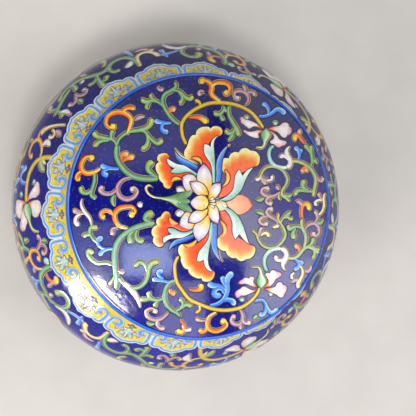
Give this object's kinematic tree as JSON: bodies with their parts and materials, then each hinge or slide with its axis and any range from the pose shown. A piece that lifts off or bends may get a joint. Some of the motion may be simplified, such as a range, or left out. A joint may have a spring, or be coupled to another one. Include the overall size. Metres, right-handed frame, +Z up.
{
  "type": "covered porcelain jar",
  "caption": "Squat round porcelain jar on a foot ring with a flat cap lid, blue ground with an enamelled flower scroll.",
  "frame": {"origin": "centre of the foot ring's underside, on the ground", "axes": "+Z up along the jar's axis of turning"},
  "size_m": [0.1088, 0.1088, 0.0978],
  "materials": {
    "cobalt_glaze": "gloss, deep cobalt blue",
    "enamel": "gloss, painted overglaze colours",
    "white_glaze": "gloss, white inside and under the base",
    "bare_porcelain": "matt, unglazed foot ring and seat"
  },
  "bodies": {
    "root": {"jar": "cobalt_glaze", "lid": "cobalt_glaze"}
  },
  "joints": []
}
